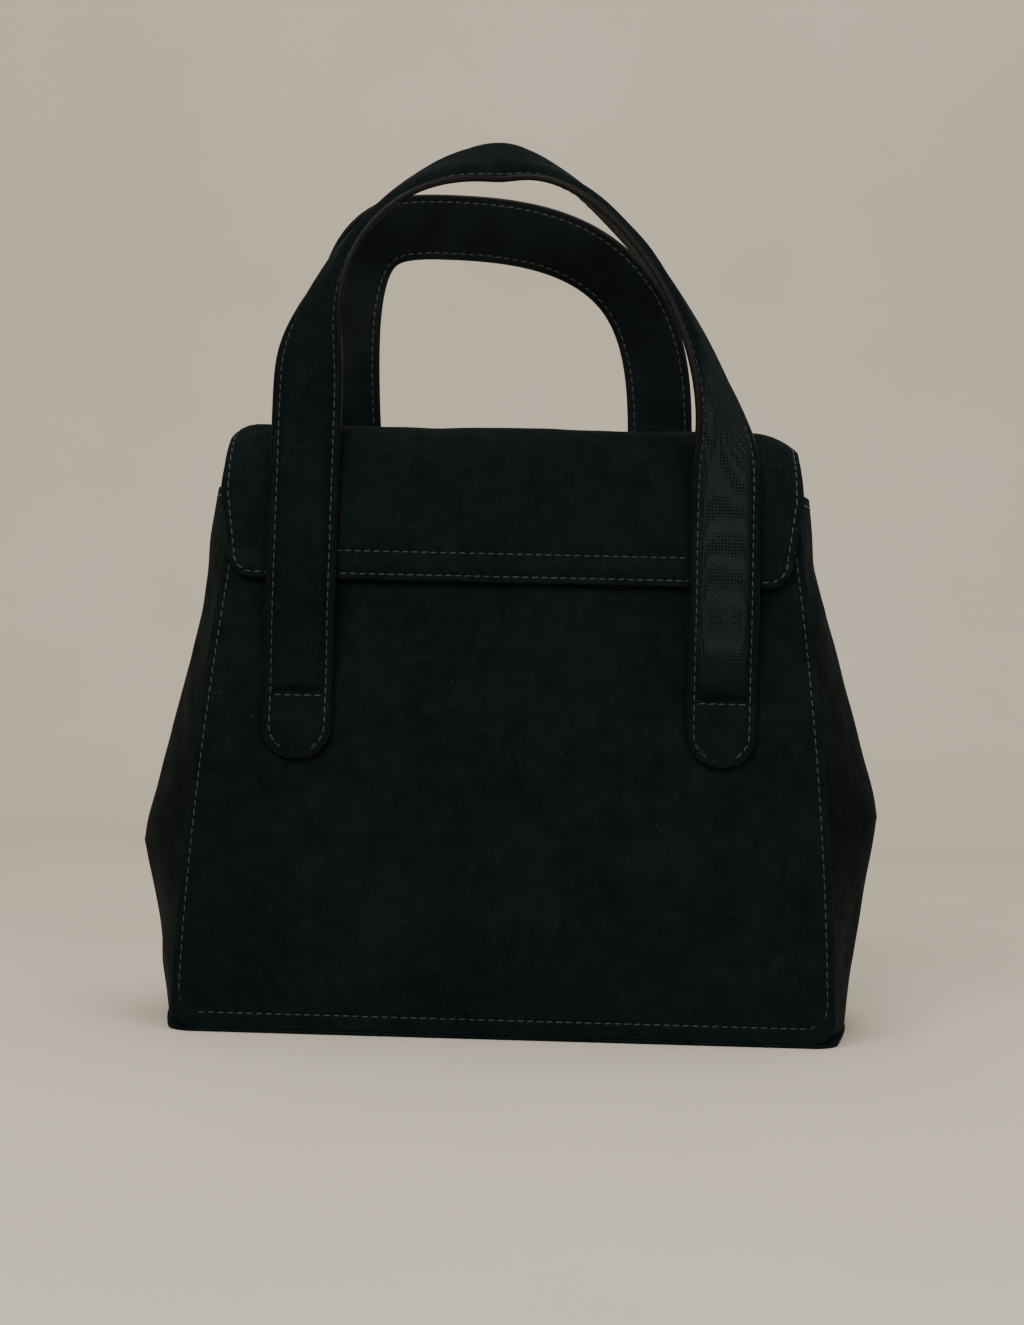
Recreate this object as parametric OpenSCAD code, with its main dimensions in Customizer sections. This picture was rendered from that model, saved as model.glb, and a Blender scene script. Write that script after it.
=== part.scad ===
// Soft suede handbag with a sewn-down flap, a magnetic tongue and two padded strap handles.
// The bag stands on z = 0. The sewn-down side of the flap faces -Y, the tongue faces +Y.

/* [Body] */
// Width of each panel at the base
base_w = 239; // [215:1:260]
// Width of each panel at the mouth
mouth_w = 203; // [190:1:212]
// Depth of the bag at the base
base_d = 110; // [100:1:120]
// Depth of the bag at the mouth
mouth_d = 72; // [68:1:78]
// Height of the panels along their slope
panel_h = 207; // [200:1:210]
// How far a gusset stands out beyond the panels at the base
gusset_bulge = 9.5; // [6:0.5:12]
// How much further its crease stands out at the widest height
gusset_crease = 14.5; // [6:0.5:18]
// Height of the widest point of the gusset
crease_z = 68; // [55:1:80]
// Height of the gusset's top edge
gusset_top = 200; // [190:1:202]

/* [Flap] */
// Height of the flap's outer face over the mouth
flap_z = 223; // [222:1:226]
// Radius of the roll where the flap turns over the mouth
roll_r = 20; // [16:1:22]
// Width of the flap over the mouth
flap_w = 210; // [206:1:214]
// Height of the flap's sewn lower edge
flap_low_z = 163; // [155:1:170]
// Width of the flap at that edge
flap_low_w = 203; // [200:1:206]
// Width of the tongue
tongue_w = 68; // [60:1:68]
// Height of the tongue's rounded end
tongue_low_z = 142; // [135:1:155]
// Angle round the front roll where the tongue starts
tongue_angle = 35; // [25:1:40]

/* [Handles] */
// Width of a strap
strap_w = 24.5; // [20:0.5:26]
// Height of the stitch row where a strap leaves its tab, along the panel
row_s = 122; // [115:1:130]
// Spacing of the straps of the handle on the sewn side
back_spacing = 154; // [148:1:158]
// Spacing of the straps of the handle on the tongue side
front_spacing = 126; // [120:1:132]
// Height of the back handle's top, on its centre line, along the panel
back_top_s = 321; // [300:1:330]
// Height of the front handle's top, on its centre line, along the panel
front_top_s = 309; // [300:1:320]

/* [Leather] */
// Thickness of the outer suede
suede_t = 1.2; // [1:0.1:1.4]
// Thickness of the stiffening board in the walls
board_t = 1.2; // [1:0.1:1.4]
// Thickness of the inner lining
lining_t = 0.7; // [0.5:0.1:0.8]
// Diameter of the hidden magnets
magnet_d = 16; // [10:1:20]

/* [Hidden] */

suede_colour = [0.035, 0.04, 0.042];
smooth_colour = [0.06, 0.055, 0.05];
fabric_colour = [0.16, 0.14, 0.12];
board_colour = [0.55, 0.47, 0.36];
felt_colour = [0.5, 0.5, 0.48];
steel_colour = [0.6, 0.61, 0.62];

// Walls: the panels lean in by this angle, and their sides curve with this power.
lean = asin((base_d - mouth_d) / 2 / panel_h);
side_power = 1.8;
// Layers of a wall, counted inwards from its outer face.
stiffener_in = suede_t;
patch_t = 0.8;
patch_in = stiffener_in + board_t;
lining_in = patch_in + patch_t;
pocket_gap = 0.8;
wall_t = lining_in + lining_t;
// The lowest edge of the walls, just above the base panel.
base_t = 1.2;
seat = 0.3;
wall_foot = base_t + seat;
corner_r = 8;
// How far the inner layers stay inside the panel's edge.
layer_inset = 3;
// The base board under the base lining.
base_board_t = 2;

// Gussets: power of the crease's cross-section, reach of the crease upwards, and grid of the surface.
crease_power = 1.3;
crease_reach = 95;
gusset_across = 12;
gusset_up = 14;
gusset_clear = 0.1;

// Flap: layers, and its stand-off from the panels.
flap_gap = 0.3;
flap_board_t = 1.2;
flap_lining_t = 0.8;
flap_t = suede_t + flap_board_t + flap_lining_t;
flap_off = flap_gap + flap_t;
flap_corner_r = 8;
flap_top_corner_r = 12;
tongue_corner_r = 20;
fold_gap = 0.3;
roll_steps = 10;
roll_z = flap_z - roll_r;
roll_y = base_d / 2 + flap_off / cos(lean) - (roll_z + roll_r * sin(lean)) * tan(lean)
    - roll_r * cos(lean);
slope_angle = 90 - lean;
magnet_z = 160;

// Handles: strap section, and steps of the sweep.
tab_t = 2.4;
tab_len = 23;
strap_off = flap_off + 0.4;
strap_edge_t = 1.2;
core_w = 18;
core_h = 2;
core_foot = 0.6;
leg_steps = 5;
arch_steps = 13;
row_gap = 0.5;
// Each handle leans sideways: its top is off centre, and its two shoulders differ.
// [half spacing, top's x, top's s, left shoulder's s, right shoulder's s, left power, right power,
//  how far the shoulders sway from the tabs, tilt of the strap's face at the top, extra tilt at
//  the shoulders]
back_shape = [
    back_spacing / 2, -7, back_top_s, back_top_s - 80, back_top_s - 103, 1.9, 1.65, 0, 42, 76
];
front_shape = [
    front_spacing / 2, -45, front_top_s, front_top_s - 48, front_top_s - 94, 2.6, 3.1, -8, 12, 25
];

// ---- Shapes of the walls ----

// Half width of a panel at height s.
function panel_half(s) =
    base_w / 2 - (base_w - mouth_w) / 2 * pow(min(max(s, 0), panel_h) / panel_h, side_power);

// Half depth of the bag at height z, to the panels' outer faces.
function half_depth(z) = base_d / 2 - z * tan(lean);

// How far a gusset's crease stands out beyond the panels at height z.
function bulge(z) =
    gusset_bulge + gusset_crease
    * (z < crease_z ? pow(z / crease_z, 1.5) : max(0, 1 - (z - crease_z) / crease_reach));

// Half width of the bag at height z, f = -1 to 1 across the gusset.
function gusset_x(f, z) = panel_half(z) + bulge(z) * (1 - pow(abs(f), crease_power));

// An arc of points.
function arc(centre, r, from, to, steps) = [
    for (i = [0:steps])
        let (a = from + (to - from) * i / steps)
        [centre[0] + r * cos(a), centre[1] + r * sin(a)]
];

// Puts a shape drawn in the panel's plane, x across and y up, on the back wall.
module on_back() {
    translate([0, -base_d / 2, 0])
        rotate([90 - lean, 0, 0])
            children();
}

module on_front() {
    mirror([0, 1, 0])
        on_back()
            children();
}

// Outline of a panel or of an inner layer of it, in the panel's plane.
module panel_outline(inset, foot) {
    r = corner_r;
    foot_half = panel_half(foot) - inset;
    right = concat(
        arc([foot_half - r, foot + r], r, -90, 0, 6),
        [for (i = [1:12])
            let (s = foot + r + (panel_h - foot - r) * i / 12)
            [panel_half(s) - inset, s]]
    );
    left = [for (i = [len(right) - 1:-1:0]) [-right[i][0], right[i][1]]];
    polygon(concat(right, left));
}

module wall_layer(depth, t, inset, foot) {
    translate([0, 0, -depth - t])
        linear_extrude(height = t)
            panel_outline(inset, foot);
}

// Wall of the right gusset between two depths below its outer face.
module gusset_wall(depth, t, side_gap, foot, top) {
    columns = gusset_across + 1;
    rows = gusset_up + 1;
    function at(i, j, d) =
        let (f = -1 + 2 * i / gusset_across, z = foot + (top - foot) * j / gusset_up)
        [gusset_x(f, z) - d, f * (half_depth(z) - side_gap), z];
    outer = [for (j = [0:gusset_up], i = [0:gusset_across]) at(i, j, depth)];
    inner = [for (j = [0:gusset_up], i = [0:gusset_across]) at(i, j, depth + t)];
    n = columns * rows;
    quads = concat(
        [for (j = [0:gusset_up - 1], i = [0:gusset_across - 1])
            let (a = j * columns + i) [a, a + columns, a + columns + 1, a + 1]],
        [for (j = [0:gusset_up - 1], i = [0:gusset_across - 1])
            let (a = n + j * columns + i) [a, a + 1, a + columns + 1, a + columns]],
        [for (i = [0:gusset_across - 1]) [i, i + 1, n + i + 1, n + i]],
        [for (i = [0:gusset_across - 1])
            let (a = n - columns + i) [a, n + a, n + a + 1, a + 1]],
        [for (j = [0:gusset_up - 1])
            let (a = j * columns) [a, n + a, n + a + columns, a + columns]],
        [for (j = [0:gusset_up - 1])
            let (a = j * columns + columns - 1) [a, a + columns, n + a + columns, n + a]]
    );
    triangles = [for (q = quads, t = [[q[0], q[1], q[2]], [q[0], q[2], q[3]]]) t];
    polyhedron(points = concat(outer, inner), faces = triangles);
}

// Outline of the base, in plan.
module base_outline(inset) {
    steps = 10;
    right = [for (i = [0:steps])
        let (f = -1 + 2 * i / steps)
        [gusset_x(f, 0) - inset, f * (base_d / 2 - inset)]];
    left = [for (i = [steps:-1:0]) [-right[i][0], right[i][1]]];
    polygon(concat(right, left));
}

// ---- Shape of the flap ----

// A point on the back roll: d below the outer face, a degrees down from the top.
function roll(d, a) = [-roll_y - (roll_r - d) * sin(a), roll_z + (roll_r - d) * cos(a)];

// A point beside the back panel: d below the flap's outer face, at height z.
function slope(d, z) = [-half_depth(z) - (flap_off - d) / cos(lean), z];

function front(points) = [for (p = points) [-p[0], p[1]]];

function reversed(points) = [for (i = [len(points) - 1:-1:0]) points[i]];

function roll_arc(d, from, to) =
    [for (i = [0:roll_steps]) roll(d, from + (to - from) * i / roll_steps)];

// Extrudes a side profile, y and z, across the bag.
module across(w) {
    rotate([90, 0, 90])
        linear_extrude(height = w, center = true)
            children();
}

// Side profile of a layer of the sewn-down flap: up the slope, round the roll, to the fold.
module flap_back_layer(d, t) {
    outer = concat([slope(d, flap_low_z)], roll_arc(d, slope_angle, 0));
    inner = concat([slope(d + t, flap_low_z)], roll_arc(d + t, slope_angle, 0));
    intersection() {
        across(flap_w)
            polygon(concat(outer, reversed(inner)));
        flap_back_outline();
    }
}

// Front view of the sewn-down flap: slightly tapered, with round lower corners.
module flap_back_outline() {
    r = flap_corner_r;
    half = flap_low_w / 2;
    straight_z = flap_low_z + 32;
    right = concat(
        arc([half - r, flap_low_z + r], r, -90, 0, 8),
        [[flap_w / 2, straight_z], [flap_w / 2 - 1.5, flap_z + 1]]
    );
    rotate([90, 0, 0])
        linear_extrude(height = base_d * 2, center = true)
            polygon(concat(right, reversed([for (p = right) [-p[0], p[1]]])));
}

// A layer of the flap over the mouth, from the fold to the start of the tongue.
module flap_top_layer(d, t) {
    outer = front(roll_arc(d, 0, tongue_angle - 1));
    inner = front(roll_arc(d + t, 0, tongue_angle - 1));
    profile = concat(
        [[-roll_y + fold_gap, flap_z - d]], outer,
        reversed(inner), [[-roll_y + fold_gap, flap_z - d - t]]
    );
    intersection() {
        across(flap_w - 3)
            polygon(profile);
        flap_top_outline();
    }
}

module flap_top_outline() {
    r = flap_top_corner_r;
    half = flap_w / 2 - 1.5;
    edge = roll_y + roll_r * sin(tongue_angle);
    right = concat([[half, -roll_y]], arc([half - r, edge - r], r, 0, 90, 8));
    linear_extrude(height = flap_z * 2)
        polygon(concat(right, reversed([for (p = right) [-p[0], p[1]]])));
}

// A layer of the tongue: round the front roll and down the front panel.
module tongue_layer(d, t) {
    outer = concat(roll_arc(d, tongue_angle, slope_angle), [slope(d, tongue_low_z)]);
    inner = concat(roll_arc(d + t, tongue_angle, slope_angle), [slope(d + t, tongue_low_z)]);
    intersection() {
        across(tongue_w)
            polygon(front(concat(outer, reversed(inner))));
        tongue_outline();
    }
}

module tongue_outline() {
    r = tongue_corner_r;
    right = concat(
        arc([tongue_w / 2 - r, tongue_low_z + r], r, -90, 0, 10),
        [[tongue_w / 2, flap_z + 1]]
    );
    rotate([90, 0, 0])
        linear_extrude(height = base_d * 2, center = true)
            polygon(concat(right, reversed([for (p = right) [-p[0], p[1]]])));
}

// A disc whose outer face lies at offset o from the front panel, centred at the magnet's height.
module magnet_disc(o, t) {
    on_front()
        translate([0, magnet_z / cos(lean), o - t])
            cylinder(h = t, d = magnet_d, $fn = 64);
}

// ---- Shape of the handles ----

// Centre line of a handle in the panel's plane, from the left tab over the arch to the right tab.
function handle_line(h) =
    let (
        foot = row_s + row_gap,
        left_x = -h[0] + h[7],
        right_x = h[0] + h[7]
    )
    concat(
        [for (i = [0:leg_steps - 1])
            [-h[0] + h[7] * i / leg_steps, foot + (h[3] - foot) * i / leg_steps]],
        [for (i = [0:arch_steps])
            let (a = 90 * i / arch_steps)
            [h[1] + (left_x - h[1]) * pow(cos(a), 2 / h[5]),
             h[3] + (h[2] - h[3]) * pow(sin(a), 2 / h[5])]],
        [for (i = [1:arch_steps])
            let (a = 90 - 90 * i / arch_steps)
            [h[1] + (right_x - h[1]) * pow(cos(a), 2 / h[6]),
             h[4] + (h[2] - h[4]) * pow(sin(a), 2 / h[6])]],
        [for (i = [1:leg_steps])
            [right_x - h[7] * i / leg_steps, h[4] + (foot - h[4]) * i / leg_steps]]
    );

function unit(v) = v / norm(v);

// Orders the points of a section, from its left edge to its right.
function rank(p) = p[0] + p[1] / 100;

// Sweeps a strap section, [across, outwards] points, along a handle's centre line.
// The strap's face turns from the wall's direction in the legs towards the arch's outside.
module strap_sweep(h, section) {
    line = handle_line(h);
    n = len(line);
    m = len(section);
    points = [
        for (k = [0:n - 1])
            let (
                a = line[max(k - 1, 0)],
                b = line[min(k + 1, n - 1)],
                along = unit(b - a),
                tilt = h[8] * pow(along[0], 2) + h[9] * 2 * abs(along[0]) * pow(along[1], 2),
                face = [-along[1] * sin(tilt), along[0] * sin(tilt), cos(tilt)],
                wide = cross([along[0], along[1], 0], face),
                centre = [line[k][0], line[k][1], strap_off]
            )
            for (p = section) centre + p[0] * wide + p[1] * face
    ];
    // Faces that two layers share are split along the same diagonal, so the layers don't overlap.
    sides = [
        for (k = [0:n - 2], i = [0:m - 1])
            let (j = (i + 1) % m, a = k * m + i, b = k * m + j)
            for (t = rank(section[i]) < rank(section[j])
                ? [[a, b, b + m], [a, b + m, a + m]]
                : [[a, b, a + m], [b, b + m, a + m]]) t
    ];
    // A section lists its inner side and then its outer side back, so its ends are strips of quads.
    strips = [for (i = [0:m / 2 - 2]) [i, i + 1, m - 2 - i, m - 1 - i]];
    first_end = [for (q = strips, t = [[q[2], q[1], q[0]], [q[3], q[2], q[0]]]) t];
    last_end = [for (t = first_end) [for (i = reversed(t)) i + (n - 1) * m]];
    polyhedron(points = points, faces = concat(sides, first_end, last_end));
}

// The suede is flat at its stitched edges and raised over the core.
suede_section = let (w = strap_w / 2, c = core_w / 2, g = core_foot, e = strap_edge_t) [
    [-w, e], [-c - g, e], [-c, e + core_h], [c, e + core_h], [c + g, e], [w, e],
    [w, 2 * e], [c + g + e, 2 * e], [c, 2 * e + core_h], [-c, 2 * e + core_h],
    [-c - g - e, 2 * e], [-w, 2 * e]
];
core_section = let (c = core_w / 2, g = core_foot, e = strap_edge_t) [
    [-c - g, e], [c + g, e], [c, e + core_h], [-c, e + core_h]
];
lining_section = let (w = strap_w / 2, c = core_w / 2, g = core_foot, e = strap_edge_t) [
    [-w, 0], [-c - g, 0], [c + g, 0], [w, 0], [w, e], [c + g, e], [-c - g, e], [-w, e]
];

// A strap's rounded end, sewn flat to the wall below the stitch row.
module tab(x) {
    translate([x, 0, 0])
        linear_extrude(height = tab_t)
            intersection() {
                translate([-strap_w / 2, row_s - tab_len])
                    square([strap_w, tab_len]);
                union() {
                    translate([0, row_s - tab_len + strap_w / 2])
                        circle(d = strap_w, $fn = 48);
                    translate([-strap_w / 2, row_s - tab_len + strap_w / 2])
                        square([strap_w, tab_len]);
                }
            }
}

// Patches behind the tabs that take the load of the stitches.
module tab_patches(spacing) {
    patch_w = strap_w + 8;
    for (side = [-1, 1])
        translate([side * spacing / 2 - patch_w / 2, row_s - tab_len - 4, -patch_in - patch_t])
            cube([patch_w, tab_len + 8, patch_t]);
}

// ---- Walls ----

module back_panel() {
    color(suede_colour) on_back() wall_layer(0, suede_t, 0, wall_foot);
}

module front_panel() {
    color(suede_colour) on_front() wall_layer(0, suede_t, 0, wall_foot);
}

module gusset_right() {
    color(suede_colour)
        gusset_wall(0, suede_t, suede_t + gusset_clear, wall_foot, gusset_top);
}

module gusset_left() {
    color(suede_colour)
        mirror([1, 0, 0])
            gusset_wall(0, suede_t, suede_t + gusset_clear, wall_foot, gusset_top);
}

module base_panel() {
    color(suede_colour) linear_extrude(height = base_t) base_outline(0);
}

module base_board() {
    color(board_colour)
        translate([0, 0, wall_foot])
            linear_extrude(height = base_board_t)
                base_outline(wall_t + 1);
}

module back_stiffener() {
    color(board_colour) on_back() wall_layer(stiffener_in, board_t, layer_inset, wall_foot + 1);
}

module front_stiffener() {
    color(board_colour)
        difference() {
            on_front() wall_layer(stiffener_in, board_t, layer_inset, wall_foot + 1);
            magnet_disc(1, 10);
        }
}

module back_tab_reinforcements() {
    color(board_colour) on_back() tab_patches(back_spacing);
}

module front_tab_reinforcements() {
    color(board_colour) on_front() tab_patches(front_spacing);
}

module lining_back() {
    color(fabric_colour) on_back() wall_layer(lining_in, lining_t, layer_inset, wall_foot + 1);
}

module lining_front() {
    color(fabric_colour) on_front() wall_layer(lining_in, lining_t, layer_inset, wall_foot + 1);
}

module lining_gusset_right() {
    color(fabric_colour)
        gusset_wall(suede_t + seat, lining_t, wall_t, wall_foot + 1, gusset_top - 1);
}

module lining_gusset_left() {
    color(fabric_colour)
        mirror([1, 0, 0])
            gusset_wall(suede_t + seat, lining_t, wall_t, wall_foot + 1, gusset_top - 1);
}

module lining_base() {
    color(fabric_colour)
        translate([0, 0, wall_foot + base_board_t])
            linear_extrude(height = lining_t)
                base_outline(wall_t + 1);
}

module slip_pocket() {
    pocket_w = 150;
    pocket_h = 90;
    pocket_s = 70;
    rim = 5;
    color(fabric_colour)
        on_back()
            translate([0, 0, -wall_t - pocket_gap - lining_t])
                difference() {
                    translate([-pocket_w / 2, pocket_s, 0])
                        cube([pocket_w, pocket_h, pocket_gap + lining_t]);
                    translate([-pocket_w / 2 + rim, pocket_s + rim, lining_t])
                        cube([pocket_w - 2 * rim, pocket_h, pocket_gap + 1]);
                }
}

module front_magnet() {
    color(steel_colour) magnet_disc(-stiffener_in, board_t);
}

// ---- Flap ----

module flap_back() {
    color(suede_colour) flap_back_layer(0, suede_t + flap_board_t);
}

module flap_back_lining() {
    color(smooth_colour) flap_back_layer(suede_t + flap_board_t, flap_lining_t);
}

module flap_top() {
    color(suede_colour) flap_top_layer(0, suede_t);
}

module flap_board() {
    color(board_colour) flap_top_layer(suede_t, flap_board_t);
}

module flap_top_lining() {
    color(smooth_colour) flap_top_layer(suede_t + flap_board_t, flap_lining_t);
}

module tongue() {
    color(suede_colour) tongue_layer(0, suede_t);
}

module tongue_board() {
    color(board_colour)
        difference() {
            tongue_layer(suede_t, flap_board_t);
            magnet_disc(flap_off, flap_off);
        }
}

module tongue_lining() {
    color(smooth_colour) tongue_layer(suede_t + flap_board_t, flap_lining_t);
}

module tongue_magnet() {
    color(steel_colour) magnet_disc(flap_off - suede_t, flap_board_t);
}

// ---- Handles ----

module back_tab_left() {
    color(suede_colour) on_back() tab(-back_spacing / 2);
}

module back_tab_right() {
    color(suede_colour) on_back() tab(back_spacing / 2);
}

module front_tab_left() {
    color(suede_colour) on_front() tab(-front_spacing / 2);
}

module front_tab_right() {
    color(suede_colour) on_front() tab(front_spacing / 2);
}

module back_handle_suede() {
    color(suede_colour) on_back() strap_sweep(back_shape, suede_section);
}

module back_handle_core() {
    color(felt_colour) on_back() strap_sweep(back_shape, core_section);
}

module back_handle_lining() {
    color(smooth_colour) on_back() strap_sweep(back_shape, lining_section);
}

module front_handle_suede() {
    color(suede_colour) on_front() strap_sweep(front_shape, suede_section);
}

module front_handle_core() {
    color(felt_colour) on_front() strap_sweep(front_shape, core_section);
}

module front_handle_lining() {
    color(smooth_colour) on_front() strap_sweep(front_shape, lining_section);
}

back_panel();
front_panel();
gusset_left();
gusset_right();
base_panel();
base_board();
back_stiffener();
front_stiffener();
back_tab_reinforcements();
front_tab_reinforcements();
lining_back();
lining_front();
lining_gusset_left();
lining_gusset_right();
lining_base();
slip_pocket();
front_magnet();
flap_back();
flap_back_lining();
back_tab_left();
back_tab_right();
front_tab_left();
front_tab_right();
flap_top();
flap_board();
flap_top_lining();
tongue();
tongue_board();
tongue_lining();
tongue_magnet();
back_handle_suede();
back_handle_core();
back_handle_lining();
front_handle_suede();
front_handle_core();
front_handle_lining();
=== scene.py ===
"""Soft suede handbag: a flap sewn down on the -Y side, a tongue on +Y and two padded strap handles.

Shapes are worked out in millimetres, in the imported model's frame, and written in metres.
A wall's own coordinates are x across, s up its slope and o out of it.
"""

import math

import bpy
import numpy as np
from mathutils import Matrix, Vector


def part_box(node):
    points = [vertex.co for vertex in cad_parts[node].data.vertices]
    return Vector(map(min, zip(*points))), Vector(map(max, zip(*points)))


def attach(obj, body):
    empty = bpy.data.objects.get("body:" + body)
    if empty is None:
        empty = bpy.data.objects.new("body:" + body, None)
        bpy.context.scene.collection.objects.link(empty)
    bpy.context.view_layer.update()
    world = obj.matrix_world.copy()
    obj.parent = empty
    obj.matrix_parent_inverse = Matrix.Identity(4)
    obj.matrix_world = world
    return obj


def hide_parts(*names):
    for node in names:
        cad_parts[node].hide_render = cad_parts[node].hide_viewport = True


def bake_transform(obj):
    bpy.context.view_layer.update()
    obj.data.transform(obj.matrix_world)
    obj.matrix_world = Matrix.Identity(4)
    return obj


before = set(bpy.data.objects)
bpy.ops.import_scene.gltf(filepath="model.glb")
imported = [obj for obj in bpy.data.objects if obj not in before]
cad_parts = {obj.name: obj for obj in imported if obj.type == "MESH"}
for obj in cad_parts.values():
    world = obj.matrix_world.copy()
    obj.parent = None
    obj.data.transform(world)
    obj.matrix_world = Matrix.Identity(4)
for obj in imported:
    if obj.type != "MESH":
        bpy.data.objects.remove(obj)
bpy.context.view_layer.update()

MM = 0.001
SEWN, TONGUE = -1, 1  # the two sides of the bag, as the sign of y

# ---- Driving dimensions, as in the CAD model ----

BASE_W = 239.0
MOUTH_W = 203.0
BASE_D = 110.0
MOUTH_D = 72.0
PANEL_H = 207.0
SIDE_POWER = 1.8
LEAN = math.asin((BASE_D - MOUTH_D) / 2 / PANEL_H)
WALL_FOOT = 1.5
CORNER_R = 8.0
SUEDE_T = 1.2
LINING_T = 0.7
LINING_IN = 3.2
LAYER_INSET = 3.0

GUSSET_BULGE = 9.5
GUSSET_CREASE = 14.5
CREASE_Z = {-1: 64.0, 1: 80.0}  # apex of the left and the right gusset's crease
CREASE_REACH = 95.0
CREASE_POWER = 1.3
GUSSET_TOP = 200.0

FLAP_Z = 223.0
ROLL_R = 20.0
ROLL_Z = FLAP_Z - ROLL_R
FLAP_LAYERS = (1.2, 1.2, 0.8)  # suede, board, lining
FLAP_T = sum(FLAP_LAYERS)
FLAP_OFF = 0.3 + FLAP_T
FLAP_LOW_Z = 164.5
FLAP_LOW_HALF = 101.5
FLAP_HALF = 105.0
FLAP_TOP_HALF = 103.5
FLAP_CORNER_R = 9.0
TOP_CORNER_R = 12.0
TONGUE_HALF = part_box("tongue")[1][0] / MM
TONGUE_LOW_Z = 142.0
TONGUE_CORNER_R = 20.0
TONGUE_ANGLE = math.radians(35)

STRAP_HALF = 12.25
STRAP_EDGE_T = 1.2
TAB_LEN = 23.0
ROW_S = 122.0

# Half spacing of the tabs, top's x and s, shoulders' s left and right, powers left and right,
# sway of the shoulders, and the face's tilt at the top and its extra tilt at the two shoulders.
HANDLES = {
    SEWN: (77.0, -7.0, 321.4, 241.0, 208.0, 1.88, 1.6, 0.0, 42.0, 76.0, 88.0),
    TONGUE: (63.0, -45.0, 309.0, 261.0, 215.0, 2.6, 3.1, -8.0, 12.0, 25.0, 25.0),
}

STITCH_PITCH = 3.5
STITCH_LONG = 2.5
STITCH_WIDE = 0.5
STITCH_LIFT = 0.02
SEAM_INSET = 2.6
FOOT_SEAM_INSET = 5.3
SEAM_CORNER_R = 8.0
FLAP_SEAM_INSET = 2.1
STRAP_SEAM_INSET = 2.2


# ---- Small maths ----


def smooth(t):
    """0 below 0, 1 above 1 and an even S between."""
    t = np.clip(t, 0, 1)
    return t * t * (3 - 2 * t)


def dent(distance, width):
    """1 on a line and fading over width beside it."""
    return np.exp(-((distance / width) ** 2))


WAVES = 9  # how many sines make one field of noise


def waves(a, b, length, seed):
    """Smooth seeded noise of two coordinates, mostly -1 to 1, with bumps about length apart."""
    rng = np.random.default_rng(seed)
    total = 0.0
    for _ in range(WAVES):
        angle = rng.uniform(0, math.pi)
        phase = rng.uniform(0, 2 * math.pi)
        wave = length * rng.uniform(0.7, 1.5)
        across = a * math.cos(angle) + b * math.sin(angle)
        total = total + np.sin(across * 2 * math.pi / wave + phase)
    return total / math.sqrt(WAVES)


def stations(start, end, step, details=(), near=(0.35, 0.8, 1.5)):
    """Places from start to end, step apart, and closer together round each detail."""
    places = list(np.linspace(start, end, max(2, round((end - start) / step) + 1)))
    close = [start, end]
    for detail in details:
        close.append(detail)
        for reach in near:
            close += [detail - reach, detail + reach]
    close = [p for p in close if start <= p <= end]
    places = [p for p in places if min(abs(p - c) for c in close) > step * 0.3]
    merged = sorted(places + close)
    kept = [merged[0]]
    for place in merged[1:]:
        if place - kept[-1] > min(0.15, step * 0.1):
            kept.append(place)
    return np.array(kept)


EDGE_STEPS = np.array([0, 0.25, 0.6, 1.1, 1.55, 1.85, 2.1, 2.35, 2.6, 2.85, 3.2, 3.7, 4.6, 6.2, 9])


def columns(half, step):
    """Places across a sheet of varying half width: fixed distances from its edges, even between."""
    half = np.atleast_1d(half)[:, None]
    inner = np.linspace(-1, 1, round(2 * float(half.max()) / step) + 1)[1:-1]
    left = -(half - EDGE_STEPS)
    middle = inner * (half - EDGE_STEPS[-1])
    right = (half - EDGE_STEPS)[:, ::-1]
    return np.concatenate([left, middle, right], axis=1)


def round_corner(half, to_end, r):
    """Half width of an outline with round corners, to_end from its end."""
    into = np.clip(r - to_end, 0, r)
    return half - (r - np.sqrt(r * r - into * into))


def edge_distance(from_side, from_end, r):
    """Distance to an outline whose side and end meet in a corner of radius r."""
    corner = (from_side < r) & (from_end < r)
    at_corner = r - np.hypot(r - from_side, r - from_end)
    return np.where(corner, at_corner, np.minimum(from_side, from_end))


# ---- Meshes ----


def grid_quads(rows, cols):
    """Quads between the points of a grid, numbered row by row."""
    i, j = np.meshgrid(np.arange(rows - 1), np.arange(cols - 1), indexing="ij")
    a = (i * cols + j).ravel()
    return np.stack([a, a + 1, a + cols + 1, a + cols], axis=1)


def vertex_normals(points, quads):
    corners = points[quads]
    faces = np.cross(corners[:, 2] - corners[:, 0], corners[:, 3] - corners[:, 1])
    normals = np.zeros_like(points)
    for k in range(4):
        np.add.at(normals, quads[:, k], faces)
    return normals / np.maximum(np.linalg.norm(normals, axis=1, keepdims=True), 1e-9)


RIM = 0.3  # how far a sheet's rounded rim stands out, as a share of its thickness


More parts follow.
